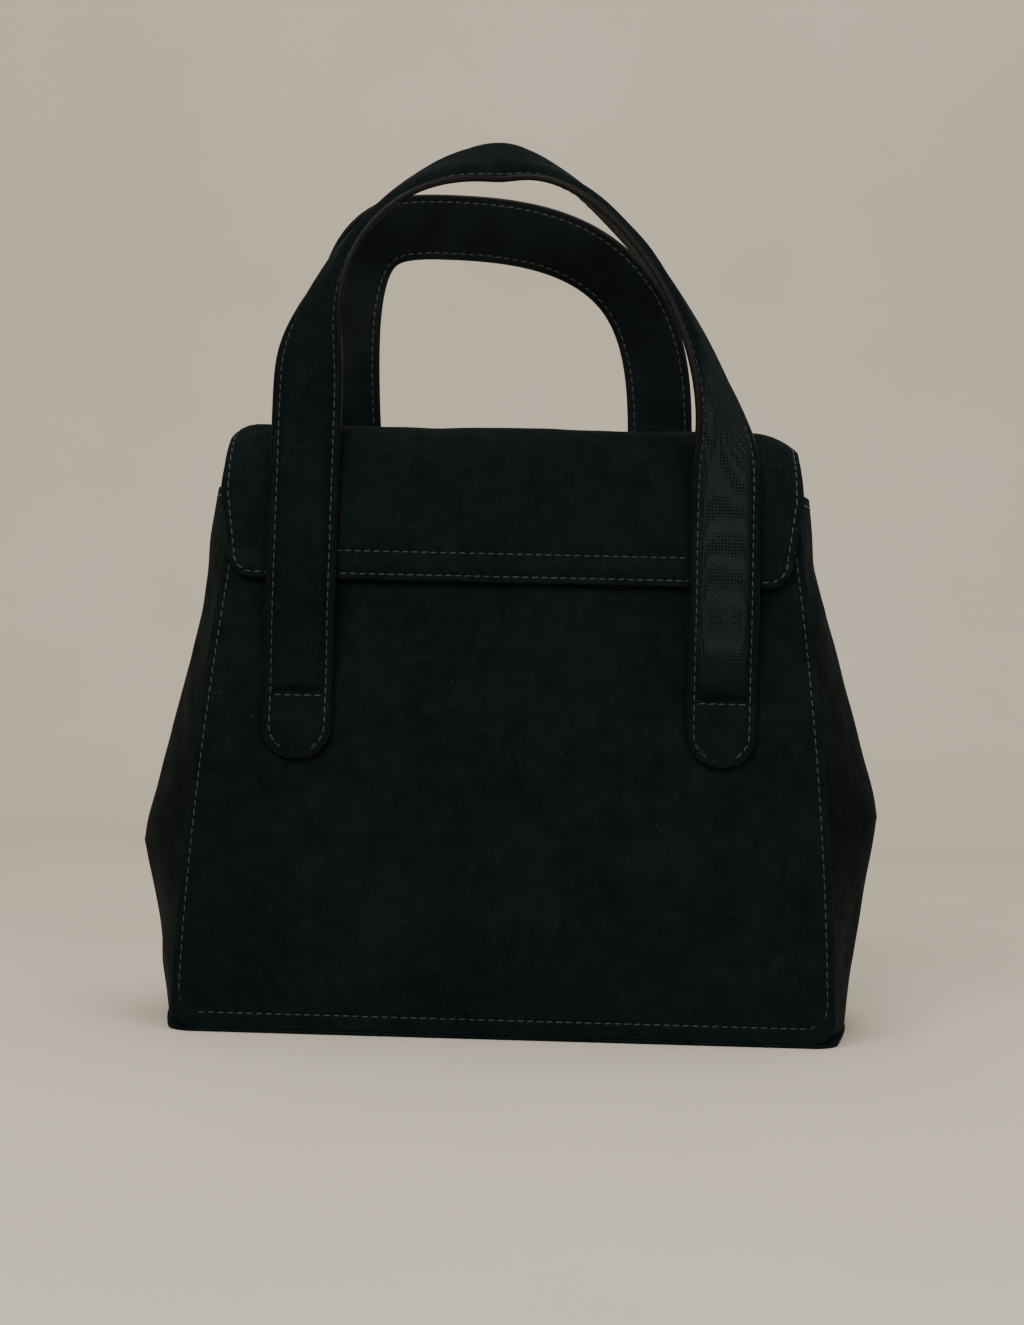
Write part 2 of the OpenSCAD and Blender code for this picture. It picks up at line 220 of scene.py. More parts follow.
def sheet(points, quads, thickness, sign):
    """Closes an open surface into a sheet: its back lies behind it, and its rim is rounded.

    sign is 1 if the quads turn their front outwards, and -1 if not.
    """
    points = points.reshape(-1, 3)
    if sign < 0:
        quads = quads[:, ::-1]
    count = len(points)
    normals = vertex_normals(points, quads)
    back = points - normals * thickness
    edges = np.concatenate([quads[:, [k, (k + 1) % 4]] for k in range(4)])
    border = edges[~np.isin(edges[:, 1] * count + edges[:, 0], edges[:, 0] * count + edges[:, 1])]
    along = points[border[:, 1]] - points[border[:, 0]]
    away = np.zeros_like(points)
    for k in range(2):
        np.add.at(away, border[:, k], np.cross(along, normals[border[:, k]]))
    ids = np.unique(border)
    away = away[ids] / np.maximum(np.linalg.norm(away[ids], axis=1, keepdims=True), 1e-9)
    rim_points = (points[ids] + back[ids]) / 2 + away * thickness * RIM
    rim_at = np.zeros(count, int)
    rim_at[ids] = 2 * count + np.arange(len(ids))
    a, b = border[:, 0], border[:, 1]
    faces = np.concatenate([
        quads,
        quads[:, ::-1] + count,
        np.stack([b, a, rim_at[a], rim_at[b]], axis=1),
        np.stack([rim_at[b], rim_at[a], a + count, b + count], axis=1),
    ])
    return np.concatenate([points, back, rim_points]), faces


def tube(rings, closed=False):
    """A solid swept through rings of points, with its ends capped unless it closes on itself."""
    n, m = rings.shape[:2]
    i, j = np.meshgrid(np.arange(n if closed else n - 1), np.arange(m), indexing="ij")
    a, b = (i * m + j).ravel(), (i * m + (j + 1) % m).ravel()
    c, d = ((i + 1) % n * m + (j + 1) % m).ravel(), ((i + 1) % n * m + j).ravel()
    faces = [list(q) for q in np.stack([a, b, c, d], axis=1)]
    if not closed:
        faces.append(list(range(m))[::-1])
        faces.append(list(range((n - 1) * m, n * m)))
    return rings.reshape(-1, 3), faces


def joined(parts):
    """Several (points, faces) as one."""
    points, faces, count = [], [], 0
    for part_points, part_faces in parts:
        points.append(part_points)
        faces += [[int(v) + count for v in face] for face in part_faces]
        count += len(part_points)
    return np.concatenate(points), faces


def piece(name, shape, look, body=None, replaces=(), sharp=50):
    """A mesh object from points in mm and faces. It keeps its rest place for its material."""
    points, faces = shape
    mesh = bpy.data.meshes.new(name)
    metres = np.asarray(points, float) * MM
    mesh.from_pydata(metres.tolist(), [], [list(map(int, face)) for face in faces])
    mesh.validate()
    rest = mesh.attributes.new("rest", "FLOAT_VECTOR", "POINT")
    rest.data.foreach_set("vector", metres.astype(np.float32).ravel())
    mesh.shade_smooth()
    mesh.set_sharp_from_angle(angle=math.radians(sharp))
    mesh.materials.append(look)
    obj = bpy.data.objects.new(name, mesh)
    bpy.context.scene.collection.objects.link(obj)
    if body:
        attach(obj, body)
    if replaces:
        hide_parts(*replaces)
    return obj


# ---- Materials ----


class Look:
    """A material under construction. Each method adds a node and returns its output."""

    def __init__(self, name, at_rest=True):
        self.material = bpy.data.materials.new(name)
        self.material.use_nodes = True
        self.tree = self.material.node_tree
        self.shader = self.tree.nodes["Principled BSDF"]
        if at_rest:
            place = self.add("ShaderNodeAttribute", attribute_name="rest")
            self.place = place.outputs["Vector"]
        else:
            self.place = self.add("ShaderNodeTexCoord").outputs["Object"]

    def add(self, kind, inputs=None, **settings):
        node = self.tree.nodes.new(kind)
        for key, value in settings.items():
            setattr(node, key, value)
        for key, value in (inputs or {}).items():
            self.give(node.inputs[key], value)
        return node

    def give(self, socket, value):
        if isinstance(value, bpy.types.NodeSocket):
            self.tree.links.new(value, socket)
        else:
            socket.default_value = value

    def set(self, **values):
        """Sets the shader's inputs and returns the finished material."""
        for key, value in values.items():
            self.give(self.shader.inputs[key.replace("_", " ")], value)
        return self.material

    def stretched(self, scale):
        return self.add(
            "ShaderNodeVectorMath", {0: self.place, 1: scale}, operation="MULTIPLY"
        ).outputs[0]

    def noise(self, size, detail=2.0, rough=0.5, place=None, warp=0.0):
        """Noise with features about size mm across."""
        inputs = {
            "Vector": place or self.place,
            "Scale": 1 / (size * MM),
            "Detail": detail,
            "Roughness": rough,
            "Distortion": warp,
        }
        return self.add("ShaderNodeTexNoise", inputs).outputs[0]

    def cells(self, size, randomness=1.0, feature="F1"):
        """Cells about size mm across."""
        inputs = {
            "Vector": self.place,
            "Scale": 1 / (size * MM),
            "Randomness": randomness,
        }
        return self.add("ShaderNodeTexVoronoi", inputs, feature=feature).outputs["Distance"]

    def spread(self, value, low, high, to_low=0.0, to_high=1.0):
        inputs = {0: value, 1: low, 2: high, 3: to_low, 4: to_high}
        return self.add("ShaderNodeMapRange", inputs).outputs[0]

    def maths(self, operation, a, b=0.0):
        return self.add("ShaderNodeMath", {0: a, 1: b}, operation=operation).outputs[0]

    def blend(self, share, a, b):
        inputs = {0: share, 6: a, 7: b}
        return self.add("ShaderNodeMix", inputs, data_type="RGBA").outputs[2]

    def axis(self, name):
        return self.add("ShaderNodeSeparateXYZ", {0: self.place}).outputs[name]

    def bump(self, height, depth_mm, strength=1.0):
        inputs = {"Height": height, "Strength": strength, "Distance": depth_mm * MM}
        return self.add("ShaderNodeBump", inputs).outputs[0]


def shaded(colour, share=1.0):
    """A colour made darker or lighter, as RGBA."""
    return tuple(c * share for c in colour) + (1,)


def suede(name, worn_strap=False, shade=1.0):
    """Near-black suede: mottled nap, short fibres, dull grain and a little lint; a shade below 1 darkens
    all its colours as painted shade.
    """
    look = Look(name)
    # The tones here and the fibre colour are darkened by shade when it is below 1: painted shade.
    dark = shaded((0.0019, 0.0044, 0.0046), shade)
    light = shaded((0.0038, 0.0074, 0.0077), shade)
    lint_colour = (0.05, 0.056, 0.053, 1)
    patches = look.noise(34, 3, 0.5, warp=0.3)
    brushed = look.noise(7, 4, 0.6, warp=0.5)
    fibres = look.noise(0.6, 3, 0.7)
    mottle = look.maths("ADD", look.maths("MULTIPLY", patches, 0.5), look.maths("MULTIPLY", brushed, 0.5))
    tone = look.spread(mottle, 0.36, 0.66)
    colour = look.blend(tone, dark, light)
    speckle = look.spread(fibres, 0.46, 0.74, 0.0, 0.45)
    colour = look.blend(speckle, colour, shaded((0.0078, 0.013, 0.0134), shade))
    warped = look.noise(3, 2)
    scatter = look.cells(4.6)
    lint = look.maths("MULTIPLY", look.spread(scatter, 0.055, 0.03), look.spread(warped, 0.5, 0.58))
    colour = look.blend(lint, colour, lint_colour)
    height = look.maths("ADD", look.maths("MULTIPLY", fibres, 0.6), look.maths("MULTIPLY", brushed, 0.9))
    if worn_strap:
        dots = look.cells(1.2, 0.2)
        up = look.axis("Z")
        side = look.axis("X")
        patch = look.maths("MULTIPLY", look.spread(up, 0.128, 0.142), look.spread(up, 0.262, 0.240))
        patch = look.maths("MULTIPLY", patch, look.spread(side, 0.066, 0.069))
        patch = look.maths("MULTIPLY", patch, look.spread(side, 0.0865, 0.084))
        patch = look.maths("MULTIPLY", patch, look.spread(look.noise(40, 2), 0.3, 0.62, 0.75, 1.0))
        pit = look.spread(dots, 0.2, 0.5)
        worn = look.blend(pit, (0.002, 0.0034, 0.0034, 1), (0.014, 0.0185, 0.0188, 1))
        colour = look.blend(look.maths("MULTIPLY", patch, 0.85), colour, worn)
        height = look.maths("ADD", height, look.maths("MULTIPLY", look.maths("MULTIPLY", pit, patch), 2.2))
    rough = look.spread(brushed, 0.35, 0.65, 0.95, 0.78)
    return look.set(
        Base_Color=colour,
        Roughness=rough,
        Normal=look.bump(height, 0.16, 0.9),
        Sheen_Weight=0.02,
        Sheen_Roughness=0.4,
        Sheen_Tint=(0.42, 0.62, 0.64, 1),
        Specular_IOR_Level=0.04,
    )


def smooth_leather(name, colour, gloss):
    """Fine-grained black lining leather with soft reflections."""
    look = Look(name)
    grain = look.cells(0.9, 1.0, "DISTANCE_TO_EDGE")
    pores = look.spread(grain, 0.0, 0.12)
    cloud = look.noise(12, 3)
    tone = look.blend(look.spread(cloud, 0.35, 0.7), shaded(colour), shaded(colour, 1.9))
    height = look.maths("ADD", pores, look.maths("MULTIPLY", cloud, 0.8))
    return look.set(
        Base_Color=tone,
        Roughness=look.spread(cloud, 0.3, 0.7, gloss - 0.04, gloss + 0.14),
        Normal=look.bump(height, 0.05, 0.6),
        Specular_IOR_Level=0.07,
    )


def edge_paint(name):
    """Glossy painted leather edge, slightly uneven."""
    look = Look(name)
    uneven = look.noise(1.6, 3)
    return look.set(
        Base_Color=look.blend(uneven, (0.003, 0.0032, 0.0032, 1), (0.008, 0.008, 0.0078, 1)),
        Roughness=look.spread(uneven, 0.3, 0.7, 0.32, 0.5),
        Normal=look.bump(uneven, 0.12, 0.5),
        Specular_IOR_Level=0.1,
    )


def thread(name, colour):
    """Twisted waxed thread."""
    look = Look(name)
    strands = look.noise(0.35, 2)
    worn = look.spread(look.noise(24, 2), 0.35, 0.65, 0.1, 1.0)
    fresh = look.blend(strands, shaded(colour, 0.5), shaded(colour, 1.3))
    return look.set(
        Base_Color=look.blend(worn, shaded(colour, 0.35), fresh),
        Roughness=0.55,
        Normal=look.bump(strands, 0.08, 0.7),
        Sheen_Weight=0.2,
    )


def twill(name):
    """Dark woven lining with a diagonal rib."""
    look = Look(name)
    ribs = look.add(
        "ShaderNodeTexWave",
        {"Vector": look.place, "Scale": 260.0, "Distortion": 0.6, "Detail": 1.0},
        wave_type="BANDS",
        bands_direction="DIAGONAL",
    ).outputs[0]
    slub = look.noise(7, 3, place=look.stretched((1, 1, 0.25)))
    tone = look.blend(ribs, (0.018, 0.014, 0.011, 1), (0.05, 0.04, 0.032, 1))
    tone = look.blend(look.spread(slub, 0.4, 0.7, 0.0, 0.5), tone, (0.07, 0.056, 0.044, 1))
    return look.set(
        Base_Color=tone,
        Roughness=0.82,
        Normal=look.bump(ribs, 0.12, 0.8),
        Sheen_Weight=0.15,
    )


def fibre_board(name, at_rest):
    """Pressed brown board with short fibres."""
    look = Look(name, at_rest)
    fibres = look.noise(1.4, 4, 0.7, place=look.stretched((1, 0.4, 0.4)))
    return look.set(
        Base_Color=look.blend(fibres, (0.23, 0.16, 0.1, 1), (0.45, 0.34, 0.23, 1)),
        Roughness=0.9,
        Normal=look.bump(fibres, 0.1, 0.6),
    )


def felt(name):
    """Grey matted felt."""
    look = Look(name)
    hairs = look.noise(0.8, 5, 0.75, warp=1.5)
    return look.set(
        Base_Color=look.blend(hairs, (0.16, 0.16, 0.155, 1), (0.34, 0.34, 0.33, 1)),
        Roughness=0.95,
        Normal=look.bump(hairs, 0.3, 0.8),
        Sheen_Weight=0.4,
    )


def plated_steel(name):
    """Plated magnet disc with turning marks."""
    look = Look(name, at_rest=False)
    marks = look.noise(0.5, 2, place=look.stretched((1, 1, 8)))
    return look.set(
        Base_Color=(0.55, 0.56, 0.58, 1),
        Metallic=1.0,
        Roughness=look.spread(marks, 0.3, 0.7, 0.25, 0.42),
        Normal=look.bump(marks, 0.02, 0.4),
    )


SUEDE = suede("suede")
# The gussets get the same suede darkened to 0.55: a copy with painted shade.
GUSSET_SUEDE_PAINTED_SHADE = suede("gusset_suede_painted_shade", shade=0.55)
STRAP_SUEDE = suede("suede_worn_strap", worn_strap=True)
SMOOTH = smooth_leather("smooth_leather", (0.0021, 0.0042, 0.0044), 0.5)
EDGE = edge_paint("painted_edge")
THREAD = thread("thread", (0.014, 0.022, 0.0222))
LINING = twill("twill_lining")
BOARD = fibre_board("fibre_board", at_rest=True)
BOARD_CAD = fibre_board("fibre_board_inner", at_rest=False)
FELT = felt("felt")
STEEL = plated_steel("plated_steel")


# ---- Stitches ----


def stitch_shape():
    """One stitch, 1 long, 1 wide and 1 high, lying along x."""
    ends = np.array([-0.5, -0.42, -0.2, 0.2, 0.42, 0.5])
    girth = np.array([0.25, 0.72, 1.0, 1.0, 0.72, 0.25])
    turn = np.arange(6) * math.pi / 3
    ring = np.stack([np.zeros(6), np.cos(turn) / 2, np.sin(turn) / 2], axis=1)
    rings = ring[None] * girth[:, None, None]
    rings[:, :, 0] = ends[:, None]
    return tube(rings)


STITCH = stitch_shape()


def row_of_stitches(points, normals):
    """Stitches along a line that lies on a surface."""
    steps = np.linalg.norm(np.diff(points, axis=0), axis=1)
    along = np.concatenate([[0], np.cumsum(steps)])
    count = max(1, round(along[-1] / STITCH_PITCH))
    pitch = along[-1] / count
    parts = []
    for k in range(count):
        middle = (k + 0.5) * pitch
        start, centre, end = (
            np.array([np.interp(middle + d, along, points[:, i]) for i in range(3)])
            for d in (-0.3 * pitch, 0, 0.3 * pitch)
        )
        normal = np.array([np.interp(middle, along, normals[:, i]) for i in range(3)])
        forward = end - start
        forward /= np.linalg.norm(forward)
        normal -= forward * (normal @ forward)
        normal /= np.linalg.norm(normal)
        across = np.cross(normal, forward)
        slant = 0.09 + 0.05 * math.sin(k * 2.4)
        forward, across = (
            forward * math.cos(slant) + across * math.sin(slant),
            across * math.cos(slant) - forward * math.sin(slant),
        )
        size = np.array([STITCH_LONG * pitch / STITCH_PITCH, STITCH_WIDE, STITCH_WIDE * 0.8])
        local = STITCH[0] * size
        placed = (
            centre
            + normal * STITCH_LIFT
            + local[:, :1] * forward
            + local[:, 1:2] * across
            + local[:, 2:] * normal
        )
        parts.append((placed, STITCH[1]))
    return joined(parts)


def on_surface(surface, a, b, sign, steps):
    """Points of a surface along a line in its own coordinates, and the normals there."""
    points = surface(a, b)
    over_a = surface(a + steps[0], b) - surface(a - steps[0], b)
    over_b = surface(a, b + steps[1]) - surface(a, b - steps[1])
    normals = sign * np.cross(over_a, over_b)
    return points, normals / np.linalg.norm(normals, axis=1, keepdims=True)


def seam(surface, a, b, sign, steps=(0.2, 0.2)):
    """Stitches along a line in a surface's own coordinates; steps are small moves in them."""
    line = on_surface(surface, np.asarray(a, float), np.asarray(b, float), sign, steps)
    return row_of_stitches(*line)


def mirrored(x, t, count):
    """A line down one side, carried on across its end and up the other side."""
    middle = np.linspace(x[-1], -x[-1], count)[1:-1]
    return (
        np.concatenate([x, middle, -x[::-1]]),
        np.concatenate([t, np.full(middle.size, t[-1]), t[::-1]]),
    )


# ---- Walls ----

PANEL_CROWN = 2.6  # how far the middle of a panel bellies out
PANEL_PUFF = 0.35  # how far it stands out all over, inside its seam


def panel_half(s):
    return BASE_W / 2 - (BASE_W - MOUTH_W) / 2 * (np.clip(s, 0, PANEL_H) / PANEL_H) ** SIDE_POWER


def half_depth(z):
    return BASE_D / 2 - z * math.tan(LEAN)


def wall_point(x, s, o, side):
    """A point given in a wall's own coordinates."""
    x, s, o = np.broadcast_arrays(x, s, o)
    y = side * (BASE_D / 2 + o * math.cos(LEAN) - s * math.sin(LEAN))
    return np.stack([x, y, o * math.sin(LEAN) + s * math.cos(LEAN)], axis=-1)


def panel_rise(x, s, side):
    """How far a panel stands out from its flat shape: a soft crown, sags and its sewn edge."""
    half = panel_half(s)
    crown = np.clip(1 - (x / half) ** 2, 0, 1) ** 0.8
    low = smooth(s / 30) * smooth((150 - s) / 75)
    soft = 0.9 * waves(x, s * 1.3, 78, 11 + side) + 0.35 * waves(x, s, 27, 21 + side)
    from_side = half - np.abs(x)
    inner = smooth(from_side / 14) * smooth((s - 8) / 14) * smooth((158 - s) / 30)
    rise = low * crown * (PANEL_CROWN + soft) + inner * PANEL_PUFF * (1 + soft)
    inside = edge_distance(from_side - SEAM_INSET, s - WALL_FOOT - FOOT_SEAM_INSET, SEAM_CORNER_R)
    return rise - 0.32 * dent(inside, 0.5) + 0.2 * dent(inside + 1.3, 0.9)


def panel(side, name, replaces):
    rows = stations(WALL_FOOT, PANEL_H, 3.2, details=(WALL_FOOT + FOOT_SEAM_INSET, WALL_FOOT + 1, 3.0, 4.5))
    half = round_corner(panel_half(rows), rows - WALL_FOOT, CORNER_R)
    x = columns(half, 3.4)
    s = np.broadcast_to(rows[:, None], x.shape)

    def surface(a, b):
        return wall_point(a, b, panel_rise(a, b, side), side)

    shape = sheet(surface(x, s), grid_quads(*x.shape), SUEDE_T, -side)
    piece(name, shape, SUEDE, "bag", replaces)

    r = SEAM_CORNER_R
    centre_s = WALL_FOOT + FOOT_SEAM_INSET + r
    centre_x = panel_half(centre_s) - SEAM_INSET - r
    down = np.linspace(PANEL_H - 2, centre_s, 60)
    turn = np.linspace(0, math.pi / 2, 8)
    line_x = np.concatenate([-(panel_half(down) - SEAM_INSET), -(centre_x + r * np.cos(turn))])
    line_s = np.concatenate([down, centre_s - r * np.sin(turn)])
    threads = seam(surface, *mirrored(line_x, line_s, 60), -side)
    piece(name + "_stitches", threads, THREAD, "bag", sharp=80)


panel(SEWN, "back_panel_suede", ["back_panel"])
panel(TONGUE, "front_panel_suede", ["front_panel"])


def gusset_point(f, z, side, depth=0.0, gap=SUEDE_T + 0.1):
    """The gusset's outer face: f = -1 to 1 across it, z up it, and side its sign of x."""
    crease_z = CREASE_Z[side]
    below = (np.clip(z, 0, crease_z) / crease_z) ** 1.35
    rise = np.where(z < crease_z, below, np.clip(1 - (z - crease_z) / CREASE_REACH, 0, 1))
    rise = rise - 0.03 * dent(z - crease_z, 5)
    bulge = GUSSET_BULGE + GUSSET_CREASE * rise
    bulge = bulge + (3.4 * smooth((z - 130) / 60) if side < 0 else -2.2 * dent(z - 155, 45))
    x = round_corner(panel_half(z), z - WALL_FOOT, CORNER_R)
    x = x + (panel_half(z) - x) * (1 - f ** 4) + bulge * (1 - np.abs(f) ** CREASE_POWER)
    free = (1 - np.abs(f) ** 3) * smooth(z / 26) * smooth((GUSSET_TOP - z) / 30)
    off_crease = smooth(np.abs(f) / 0.35)
    folds = 0.9 * waves(f * 26 + 0 * z, z * 0.55, 34, 31 + side) + 0.4 * waves(f * 40, z, 22, 41 + side)
    x = x + free * folds * (0.25 + 0.75 * off_crease) - depth
    y = f * (half_depth(z) - gap) + free * 0.8 * waves(z, f * 20, 60, 51 + side)
    return np.stack([side * x, y, z + 0 * f], axis=-1)


def gusset(side, name, replaces):
    low = (WALL_FOOT + 0.8, WALL_FOOT + 3, CREASE_Z[side])
    z = stations(WALL_FOOT, GUSSET_TOP, 3.0, details=low, near=(1.5, 3.0))
    across = np.linspace(0, 1, 23) ** 0.9
    f = np.concatenate([-across[:0:-1], across])
    zz, ff = np.meshgrid(z, f, indexing="ij")
    points = gusset_point(ff, zz, side)
    shape = sheet(points, grid_quads(*zz.shape), SUEDE_T, side)
    # The gussets wear the suede copy with painted shade, darker than the panels.
    piece(name, shape, GUSSET_SUEDE_PAINTED_SHADE, "bag", replaces)
    row_f = np.linspace(-0.97, 0.97, 40)

    def surface(a, b):
        return gusset_point(a, b, side)

    threads = seam(surface, row_f, np.full(40, GUSSET_TOP - 3.5), side, steps=(0.01, 0.5))
    piece(name + "_stitches", threads, THREAD, "bag", sharp=80)


gusset(-1, "gusset_left_suede", ["gusset_left"])
gusset(1, "gusset_right_suede", ["gusset_right"])


def base():
    """The base: a thin sheet whose ends follow the gussets."""
    f = stations(-1, 1, 0.04, near=(0.005, 0.015, 0.03), details=(-1, 1))
    end = BASE_W / 2 + GUSSET_BULGE * (1 - np.abs(f) ** CREASE_POWER)
    end = round_corner(end, (1 - np.abs(f)) * BASE_D / 2, CORNER_R)
    x = columns(end, 5)
    y = np.broadcast_to((f * BASE_D / 2)[:, None], x.shape)
    points = np.stack([x, y, np.full(x.shape, 0.0)], axis=-1)
    shape = sheet(points, grid_quads(*x.shape), 1.2, -1)
    piece("base_suede", shape, SUEDE, "bag", ["base_panel"])


base()


# ---- Linings ----


def lining_piece(name, points, sign, node):
    """A sheet of lining from a grid of points on one of its faces."""
    shape = sheet(points, grid_quads(*points.shape[:2]), LINING_T, sign)
    piece(name, shape, LINING, "bag", [node])


def lining_panel(side, name, node):
    low, high = WALL_FOOT + 1, PANEL_H
    rows = stations(low, high, 5)
    half = round_corner(panel_half(rows) - LAYER_INSET, rows - low, CORNER_R)
    x = columns(half, 6)
    s = np.broadcast_to(rows[:, None], x.shape)
    loose = smooth((panel_half(s) - np.abs(x)) / 25) * smooth((s - low) / 25) * smooth((high - s) / 20)
    puff = loose * (0.35 + 0.35 * waves(x, s, 45, 61 + side))
    lining_piece(name, wall_point(x, s, -LINING_IN - np.clip(puff, 0, 0.8), side), -side, node)


lining_panel(SEWN, "back_lining", "lining_back")
lining_panel(TONGUE, "front_lining", "lining_front")


def gusset_lining(side, name, node):
    z = stations(WALL_FOOT + 1, GUSSET_TOP - 1, 5)
    across = np.linspace(0, 1, 15)
    f = np.concatenate([-across[:0:-1], across])
    zz, ff = np.meshgrid(z, f, indexing="ij")
    lining_piece(name, gusset_point(ff, zz, side, depth=SUEDE_T + 0.3, gap=3.9), side, node)


gusset_lining(-1, "gusset_left_lining", "lining_gusset_left")
gusset_lining(1, "gusset_right_lining", "lining_gusset_right")


def base_lining():
    high = np.array(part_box("lining_base")[1]) / MM
    f = stations(-1, 1, 0.05)
    end = high[0] - GUSSET_BULGE * np.abs(f) ** CREASE_POWER
    x = columns(end, 6)
    y = np.broadcast_to((f * high[1])[:, None], x.shape)
    edge = smooth((end[:, None] - np.abs(x)) / 20) * smooth((high[1] - np.abs(y)) / 12)
    z = high[2] + edge * (0.3 + 0.3 * waves(x, y, 40, 71))
    lining_piece("base_lining", np.stack([x, y, z], axis=-1), 1, "lining_base")


base_lining()


def pocket():
    """Slip pocket on the back lining: its three sewn sides lie on the lining, its mouth gapes a little."""
    half_w, low, high = 75.0, 70.0, 160.0
    wall = LINING_IN + LINING_T + 0.8
    rows = stations(low, high, 3, details=(high - 8, low + 2.5))
    cols = stations(-half_w, half_w, 4, details=(-half_w + 2.5, half_w - 2.5))
    s, x = np.meshgrid(rows, cols, indexing="ij")
    sewn = np.minimum(half_w - np.abs(x), s - low)
    gape = smooth((s - low) / 90) * np.clip(1 - (x / half_w) ** 2, 0, 1)
    off = wall + smooth(sewn / 6) * (0.5 + 2.4 * gape + 0.3 * waves(x, s, 30, 81))
    off = off - 0.25 * dent(s - (high - 8), 0.6)
    lining_piece("pocket", wall_point(x, s, -off - LINING_T, SEWN), -1, "slip_pocket")


pocket()


# ---- Flap ----

# The flap's own coordinates are x across and t along its outer face from the middle of the top.
ROLL_SPAN = math.pi / 2 - LEAN
ROLL_Y = (
    BASE_D / 2
    + FLAP_OFF / math.cos(LEAN)
    - (ROLL_Z + ROLL_R * math.sin(LEAN)) * math.tan(LEAN)
    - ROLL_R * math.cos(LEAN)
)
ROLL_END = ROLL_Y + ROLL_R * ROLL_SPAN
ROLL_END_Z = ROLL_Z + ROLL_R * math.cos(ROLL_SPAN)
SEWN_END = ROLL_END + (ROLL_END_Z - FLAP_LOW_Z) / math.sin(ROLL_SPAN)
TONGUE_END = ROLL_END + (ROLL_END_Z - TONGUE_LOW_Z) / math.sin(ROLL_SPAN)
TONGUE_START = ROLL_Y + ROLL_R * TONGUE_ANGLE
BOX_ROWS = (2.3, 10.5)  # the two rows that sew the flap down, from its lower edge


def flap_profile(t, rise, side):
    """y and z of the flap's section: over the top, round the roll and down the slope."""
    angle = np.clip((t - ROLL_Y) / ROLL_R, 0, ROLL_SPAN)
    past = np.clip(t - ROLL_END, 0, None)
    y = np.minimum(t, ROLL_Y) + (ROLL_R + rise) * np.sin(angle) + past * math.cos(ROLL_SPAN)
    z = ROLL_Z + (ROLL_R + rise) * np.cos(angle) - past * math.sin(ROLL_SPAN)
    return side * y, z


def flap_half(t):
    """Half width of the sewn-down part."""
    straight = SEWN_END - 32
    half = np.interp(t, [0, straight, SEWN_END - 6], [FLAP_TOP_HALF, FLAP_HALF, FLAP_LOW_HALF])
    return round_corner(half, SEWN_END - t, FLAP_CORNER_R)


def end_droop(x):
    """How far the flap's unsupported ends droop over the gussets; the +X end droops further."""
    left = 5.0 * np.clip((-x - 94) / 11, 0, 1) ** 2.2
    right = 7.0 * np.clip((x - 86) / 19, 0, 1) ** 2.2
    return left + right


def flap_rise(x, t, side):
    """Height of the flap's outer face over its plain section."""
    on_top = 1 - smooth((t - ROLL_Y - 14) / 24)
    soft = 0.25 * waves(x, t, 60, 91 + side) + 0.12 * waves(x, t, 19, 95 + side)
    rise = -end_droop(x) * on_top + soft * smooth((t - 4) / 16)
    under_strap = smooth((np.abs(np.abs(x) - HANDLES[side][0]) - 11) / 4)
    if side == SEWN:
        up = SEWN_END - t
        edge = edge_distance(FLAP_HALF - 1.2 - np.abs(x), up, FLAP_CORNER_R)
        between = smooth((up - BOX_ROWS[0]) / 2.4) * smooth((BOX_ROWS[1] - up) / 2.4)
        above = smooth((up - BOX_ROWS[1]) / 5) * smooth((34 - up) / 16)
        pillow = (0.75 * between + 0.55 * above) * under_strap
        rise = rise * smooth(up / 24) + pillow
        rise = rise - 0.3 * dent(up - BOX_ROWS[0], 0.5) - 0.3 * dent(up - BOX_ROWS[1], 0.5)
        side_edge = flap_half(np.broadcast_to(t, np.shape(up))) - np.abs(x)
        rise = rise - 0.25 * dent(side_edge - FLAP_SEAM_INSET, 0.5) * smooth((up - 4) / 4)
        return rise - 0.25 * (1 - smooth(np.minimum(edge, side_edge) / 0.8))
    return rise * (1 - smooth((t - TONGUE_START) / 8) * 0.9)


def spread_end(x):
    """The flap's -X end lies a little further out than the +X end."""
    return x - 2.5 * smooth((-x - 45) / 50)


def flap_surface(side, depth=0.0):
    """A face of the flap on one side of the bag, depth below its outer face."""
    def surface(x, t):
        y, z = flap_profile(t, flap_rise(x, t, side) - depth, side)
        return np.stack(np.broadcast_arrays(spread_end(x), y, z), axis=-1)
    return surface


